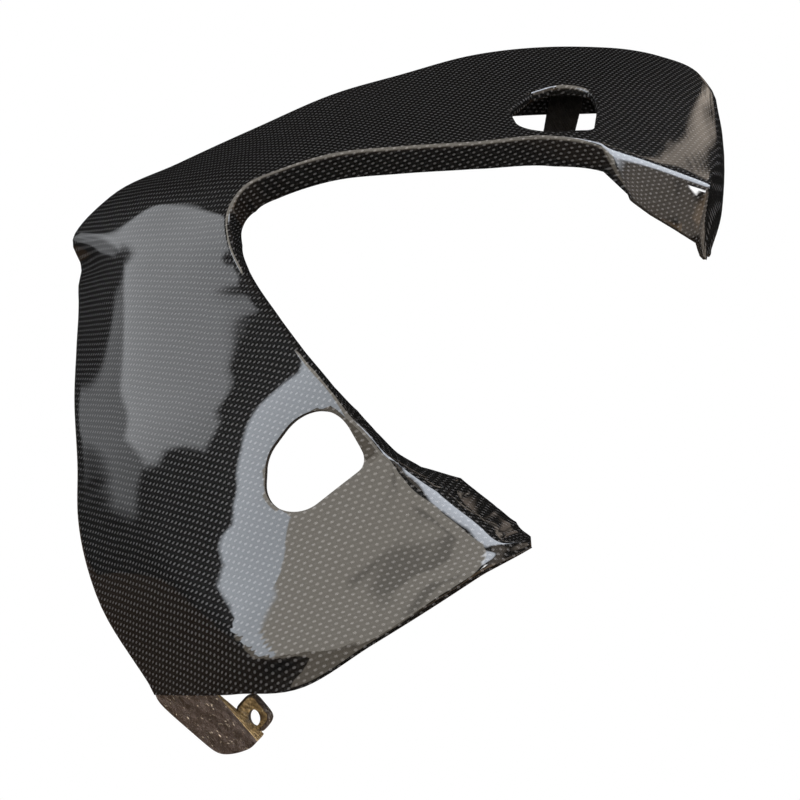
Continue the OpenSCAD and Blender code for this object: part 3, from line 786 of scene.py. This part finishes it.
def resinCarbon(name, look):
    # coarse hand-laid cloth, drowned in brown resin that pooled in folds and dried glossy,
    # with pale spots painted on as glints
    material, tree = newMaterial(name)
    place = addNode(tree, "TexCoord")
    pools = addNode(tree, "TexNoise", {"Vector": place.outputs["Object"], "Scale": look["pool"],
                                       "Detail": 4.0, "Roughness": 0.65})
    blots = addNode(tree, "TexNoise", {"Vector": place.outputs["Object"], "Scale": look["blot"],
                                       "Detail": 3.0, "Roughness": 0.6})
    threads = addNode(tree, "TexWave", {"Vector": place.outputs["Object"], "Scale": look["thread"],
                                        "Distortion": 3.0, "Detail": 2.0}, bands_direction="DIAGONAL")
    deep = addNode(tree, "MapRange", {0: pools.outputs["Fac"], 1: 0.35, 2: 0.68})
    tone = addNode(tree, "Mix", {0: deep, 6: srgb(look["cloth"]), 7: srgb(look["resin"])}, data_type="RGBA")
    # painted glints: pale spots where the blots peak
    glintSpots = addNode(tree, "MapRange", {0: blots.outputs["Fac"], 1: 0.62, 2: 0.72})
    paintedGlint = addNode(tree, "Mix", {0: glintSpots, 6: tone.outputs[2], 7: srgb(look["paintedGlint"])}, data_type="RGBA")
    weave = addNode(tree, "MapRange", {0: threads.outputs["Fac"], 1: 0.2, 2: 0.8, 3: 0.75, 4: 1.15})
    colour = addNode(tree, "VectorMath", {0: paintedGlint.outputs[2], "Scale": weave}, operation="SCALE")
    lumps = addNode(tree, "Math", {0: threads.outputs["Fac"], 1: 0.25, 2: blots.outputs["Fac"]},
                    operation="MULTIPLY_ADD")
    bump = addNode(tree, "Bump", {"Strength": 1.0, "Distance": look["relief"] * mm, "Height": lumps})
    shader = addNode(tree, "BsdfPrincipled", {
        "Base Color": colour, "Roughness": look["rough"], "Normal": bump,
        "Coat Weight": look["coat"], "Coat Roughness": look["coatRough"], "Coat IOR": 1.54,
        "Coat Normal": bump})
    addNode(tree, "OutputMaterial", {"Surface": shader})
    return material


# The tab: its brown is partly a painted purple-brown reflection, and its pale spots are painted glints
resinLook = {
    "pool": 260.0,  # size of the pools, per metre
    "blot": 520.0,
    "thread": 300.0,
    "cloth": "#473e3b",
    "resin": "#241c18",
    "paintedGlint": "#b7aa98",
    "rough": 0.35,
    "coat": 1.0,
    "coatRough": 0.06,
    "relief": 0.9,  # height of the lumps, mm
}
# The same over the wall and the ear, lighter and golden: partly the resin's own tone, partly a
# painted highlight with near-white painted glints
goldenResinAndHighlightLook = dict(resinLook, cloth="#dcc190", resin="#56442e", paintedGlint="#fff0c8", pool=380.0, relief=1.2)
# Laminate left bare and dull on the strap, darkened as painted shade so that it looks black behind the window
bareShadedLook = dict(resinLook, cloth="#1b1715", resin="#0d0a09", paintedGlint="#241e1a", rough=0.75, coat=0.1)
resinRichCarbon = resinCarbon("resinRichCarbon", resinLook)
bareShadedLaminate = resinCarbon("bareShadedLaminate", bareShadedLook)
goldenResinAndHighlight = resinCarbon("goldenResinAndHighlight", goldenResinAndHighlightLook)


def buildEar():
    rim = tabShape["rim"]
    # the dished face inside the raised rim takes the golden resin with its painted highlight
    rings = [(None, -1.25), (0.25, -1.25), (0, -0.9), (0, 0.9), (0.4, 1.35), (rim, 1.35), (rim + 0.7, 0.5),
             (None, 0.35)]
    return ringPlate(np.zeros(3), onEar(1, 0), onEar(0, 1), softened(tabShape["ear"]), tabShape["bore"],
                     rings, (5, 6))


print("lower bracket: tab and ear")
tab = addPiece("lowerBracketTab", buildTab(), resinRichCarbon)
thicken(tab, tabShape["thickness"], 0)
breakEdges(tab, tabShape["brokenEdge"])
ear = addPiece("lowerBracketEar", buildEar(), resinRichCarbon)
for piece in (tab, ear):
    piece.data.materials.append(goldenResinAndHighlight)
    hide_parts("lower_bracket")
    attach(piece, "root")

# Upper bracket: a strap bonded behind the rear return, that drops below its edge
strapShape = {
    "place": 6.77,
    "width": 20.0,
    "thickness": 2.2,
    "behind": 2.4,  # from the outer face of the return to the near face of the strap
    "lean": 12.0,  # degrees
    "slant": 4.0,
    "drop": 22.0,
    "bore": 3.3,
    "reach": (6.0, 7.6),  # where the part along the return is looked for, in sections
    "brokenEdge": 0.4,
}


def returnEdge(u):
    return ribPoints(u)[0] + between(edgeTurns, u) * shellShape["rearReturnScale"]


def strapFrame():
    run = returnEdge(strapShape["place"] - 0.02) - returnEdge(strapShape["place"] + 0.02)
    yaw = math.atan2(run[1], run[0])
    x = np.array([math.cos(yaw), math.sin(yaw), 0])
    back = np.array([math.sin(yaw), -math.cos(yaw), 0])
    lean = math.radians(strapShape["lean"])
    y = np.array([0, 0, 1]) * math.cos(lean) + back * math.sin(lean)
    return returnEdge(strapShape["place"]) + back * strapShape["behind"], x, y


def buildGrip():
    # the part that follows the inside of the return
    mesh = bmesh.new()
    rows = []
    x = strapFrame()[1]
    origin = returnEdge(strapShape["place"])
    half = strapShape["width"] / 2
    for u in np.linspace(*strapShape["reach"], 33):
        low, high = returnEdge(u), ribPoints(u)[0]
        off = (low - origin) @ x
        if abs(off) <= half + 0.6:
            out = unit(np.cross(high - low, returnEdge(u + 0.02) - low))
            if out[1] > 0:
                out = -out
            depth = strapShape["behind"] - 0.3 + strapShape["thickness"] / 2
            rows.append([low + (high - low) * t + out * depth for t in np.linspace(-0.03, 0.68, 12)])
    verts = [[mesh.verts.new(q * mm) for q in row] for row in rows]
    for a, b in zip(verts, verts[1:]):
        for n in range(len(a) - 1):
            mesh.faces.new([a[n], a[n + 1], b[n + 1], b[n]])
    bmesh.ops.recalc_face_normals(mesh, faces=mesh.faces)
    return mesh


def buildStrap():
    origin, x, y = strapFrame()
    half = strapShape["width"] / 2
    slant, drop, thick = (strapShape[k] for k in ("slant", "drop", "thickness"))
    border = [(half + slant, drop + 4), (-half + slant, drop + 4)]
    for a in np.radians(np.linspace(180, 360, 25)):
        border.append(((half - 1) * math.cos(a), (half - 1) * math.sin(a)))
    rings = [(None, 0.0), (0.3, 0.0), (0, 0.3), (0, thick - 0.3), (0.3, thick), (None, thick)]
    return ringPlate(origin - x * slant - y * drop, x, y, border, strapShape["bore"], rings)


print("upper bracket: strap and grip")
strap = addPiece("upperBracketStrap", buildStrap(), bareShadedLaminate)
grip = addPiece("upperBracketGrip", buildGrip(), bareShadedLaminate)
thicken(grip, strapShape["thickness"], 0)
breakEdges(grip, strapShape["brokenEdge"])
for piece in (strap, grip):
    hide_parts("upper_bracket")
    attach(piece, "root")

print("studio: camera, light tent and floor")
studio = {
    "sensor": 36,  # mm
    "lens": 61.38,  # mm
    "aim": (0.06, 0.06, 0.17),
    "distance": 4.0,
    "floorHeight": -0.3,
    "floorColour": "#f4f4f2",
    "fill": 0.2,  # light from all round, for diffuse rays
    "room": 0.01,  # what the lacquer sees between the lights
    "floorSeen": "#6b5440",  # the floor as the lacquer sees it
    "floorLevel": 0.5,
    "shade": (0.2, -0.35, -0.3),  # and a dark place on it, with where its edge starts and ends
    "shadeEdge": (0.3, 0.55),
    "floorFade": (0.45, 0.85),  # how far out the floor turns to plain white, m
    "floorHalf": 30,
    "tentStep": 1.0,  # mesh of the light tent, degrees
    "tentAround": (-130, 175),
    "tentUp": (-20, 75),
}
camera = bpy.data.objects.new("camera", bpy.data.cameras.new("camera"))
camera.data.sensor_width = studio["sensor"]
camera.data.lens = studio["lens"]
camera.location = cameraPlace * mm
camera.rotation_euler = (math.pi / 2, 0, 0)
bpy.context.scene.collection.objects.link(camera)
bpy.context.scene.camera = camera

# Soft lights of the tent round the object: outline in degrees (azimuth from the
# camera's side towards +X, elevation), strength, width of the soft edge and colour
tentLights = {
    "leftSheet": ([(-117.3, 14), (-117.5, 18), (-119, 21), (-117.5, 24), (-116.5, 30), (-108, 33), (-104, 33),
                   (-103.6, 30), (-101, 29), (-98.5, 28.5), (-97, 26), (-97, 22), (-102, 20), (-105, 17.5),
                   (-104.5, 15), (-107, 14)], 2.0, 1.2, "#f0f3f7"),
    "leftDim": ([(-122.5, 8.5), (-122.5, 16.5), (-120, 19.5), (-119, 21), (-117.5, 18), (-117.3, 14),
                 (-107, 14), (-110, 10), (-112, 6.5), (-115, 5.5), (-119, 7.5)], 0.7, 1.2, "#f0f3f7"),
    "skyLeft": ([(-89, 36), (-87.3, 32), (-85, 28), (-85.5, 22), (-82, 18), (-86, 14), (-83, 10), (-69, 11.3),
                 (-45, 12), (-32, 12), (-32, 27), (-42, 37), (-54, 38.5), (-70, 38)], 6.6, 1.2, "#eaf1fa"),
    "wallFront": ([(-32, 11), (47, 11), (48, 36), (60, 54), (45, 70), (-70, 70), (-83, 50), (-89, 36),
                   (-70, 38), (-54, 38.5), (-42, 37), (-32, 27)], 4.0, 1.2, "#f5ede0"),
    "wallShade": ([(30, 17), (24, 20), (19, 36), (13, 52), (16, 56), (26, 46), (27, 26)], -1.5, 2.5,
                  "#f5ede0"),
    "wallLow": ([(-74, -8), (37, -8), (37, 11), (-74, 11)], 1.9, 4.0, "#f2e4d0"),
    "crestLight": ([(50, 37), (100, 37), (100, 52), (50, 54)], 10.0, 4.0, "#edf4ff"),
    "smallWindow": ([(53.5, 15), (59, 15), (61, 21.5), (56, 21.5)], 24.0, 1.5, "#ffffff"),
    "edgeGlow": ([(37, -16), (75, -16), (75, 10), (47, 11)], 1.6, 4.0, "#d8b48c"),
    "rollGlow": ([(60, -6), (120, -6), (118, 4), (86, 12), (84, 36), (62, 36)], 1.1, 5.0, "#f3e3d2"),
    "backPatch": ([(136.5, 34), (137.8, 31), (139.5, 27), (137, 30.5), (134, 34), (128.2, 39.2), (124.5, 42),
                   (121.4, 45), (119, 47.8), (120.8, 49.6), (123.6, 49.8), (124.2, 51), (122.4, 51.2),
                   (121.6, 49.6), (122.4, 48.4), (124.2, 46.4), (126.6, 44.2), (129.6, 41.1),
                   (132.2, 37.9)], 1.6, 0.6, "#f3e4d4"),
    "backGlow": ([(139, 30.5), (148, 27), (150, 29.5), (140, 34)], 0.8, 1.5, "#f0dccb"),
}


def tentMask(outline, soft, az, el):
    # 1 inside the outline and 0 outside it, with a soft edge
    best = np.full(az.shape, 1e9)
    within = np.zeros(az.shape, bool)
    for (x0, y0), (x1, y1) in zip(outline, outline[1:] + outline[:1]):
        dx, dy = x1 - x0, y1 - y0
        t = np.clip(((az - x0) * dx + (el - y0) * dy) / (dx * dx + dy * dy), 0, 1)
        best = np.minimum(best, np.hypot(az - x0 - t * dx, el - y0 - t * dy))
        if dy:
            cross = x0 + (el - y0) * dx / dy
            within ^= ((y0 > el) != (y1 > el)) & (az < cross)
    return np.clip(0.5 + np.where(within, best, -best) / soft, 0, 1)


def addTent():
    step = studio["tentStep"]
    azimuths = np.arange(*studio["tentAround"], step)
    elevations = np.arange(*studio["tentUp"], step)
    az, el = np.meshgrid(azimuths, elevations)
    glow = np.zeros(az.shape + (3,))
    for outline, strength, soft, colour in tentLights.values():
        glow += tentMask(outline, soft, az, el)[..., None] * strength * np.array(srgb(colour)[:3])
    a, e = np.radians(az), np.radians(el)
    where = np.stack([np.sin(a) * np.cos(e), -np.cos(a) * np.cos(e), np.sin(e)], -1)
    where = where * studio["distance"] + np.array(studio["aim"])
    wide = len(azimuths)
    lit = glow.max(-1) > 0
    faces = []
    for j in range(len(elevations) - 1):
        for i in range(wide - 1):
            if lit[j:j + 2, i:i + 2].any():
                k = j * wide + i
                faces.append((k, k + 1, k + wide + 1, k + wide))
    used = sorted({k for face in faces for k in face})
    number = {k: n for n, k in enumerate(used)}
    faces = [tuple(number[k] for k in face) for face in faces]
    data = bpy.data.meshes.new("lightTent")
    data.from_pydata(where.reshape(-1, 3)[used].tolist(), [], faces)
    layer = data.attributes.new("glow", "FLOAT_COLOR", "POINT")
    values = np.ones((len(used), 4))
    values[:, :3] = np.maximum(glow.reshape(-1, 3)[used], 0)
    layer.data.foreach_set("color", values.ravel())
    material, tree = newMaterial("lightTent")
    colour = addNode(tree, "Attribute", attribute_name="glow")
    light = addNode(tree, "Emission", {"Color": colour.outputs["Color"], "Strength": 1.0})
    addNode(tree, "OutputMaterial", {"Surface": light})
    data.materials.append(material)
    tent = bpy.data.objects.new("lightTent", data)
    tent.visible_camera = False
    tent.visible_shadow = False
    bpy.context.scene.collection.objects.link(tent)


addTent()

# Matt white paper: plain white to the camera away from the object, with its shadow
# near it, and brownish and dim to the lacquer
paleFloor, tree = newMaterial("paleFloor")
ray = addNode(tree, "LightPath")
paint = addNode(tree, "BsdfDiffuse", {"Color": srgb(studio["floorColour"])})
point = addNode(tree, "NewGeometry")
outward = addNode(tree, "VectorMath", {0: point.outputs["Position"]}, operation="LENGTH")
fade = addNode(tree, "MapRange", {0: outward.outputs["Value"], 1: studio["floorFade"][0],
                                  2: studio["floorFade"][1]}, interpolation_type="SMOOTHSTEP")
bright = addNode(tree, "Emission", {"Strength": 1.0})
shown = addNode(tree, "MixShader", {0: fade, 1: paint, 2: bright})
fromShade = addNode(tree, "VectorMath", {0: point.outputs["Position"], 1: studio["shade"]},
                    operation="DISTANCE")
level = addNode(tree, "MapRange", {0: fromShade.outputs["Value"], 1: studio["shadeEdge"][0],
                                   2: studio["shadeEdge"][1], 3: studio["room"],
                                   4: studio["floorLevel"]})
dim = addNode(tree, "Emission", {"Color": srgb(studio["floorSeen"]), "Strength": level})
mirrored = addNode(tree, "MixShader", {0: ray.outputs["Is Glossy Ray"], 1: paint, 2: dim})
seen = addNode(tree, "MixShader", {0: ray.outputs["Is Camera Ray"], 1: mirrored, 2: shown})
addNode(tree, "OutputMaterial", {"Surface": seen})
far = studio["floorHalf"]
floorData = bpy.data.meshes.new("floor")
floorData.from_pydata([(-far, -far, 0), (far, -far, 0), (far, far, 0), (-far, far, 0)], [], [(0, 1, 2, 3)])
floorData.materials.append(paleFloor)
floor = bpy.data.objects.new("floor", floorData)
floor.location = (0, 0, studio["floorHeight"])
bpy.context.scene.collection.objects.link(floor)

# The air round it: an even fill for the paint, near dark for the lacquer, white for the camera
world = bpy.data.worlds.new("studio")
world.use_nodes = True
bpy.context.scene.world = world
tree = world.node_tree
tree.nodes.clear()
ray = addNode(tree, "LightPath")
plain = (1, 1, 1, 1)
fill = addNode(tree, "Background", {"Color": plain, "Strength": studio["fill"]})
room = addNode(tree, "Background", {"Color": plain, "Strength": studio["room"]})
white = addNode(tree, "Background", {"Color": plain, "Strength": 1.0})
gleam = addNode(tree, "MixShader", {0: ray.outputs["Is Glossy Ray"], 1: fill, 2: room})
view = addNode(tree, "MixShader", {0: ray.outputs["Is Camera Ray"], 1: gleam, 2: white})
addNode(tree, "OutputWorld", {"Surface": view})
bpy.context.scene.view_settings.view_transform = "Standard"
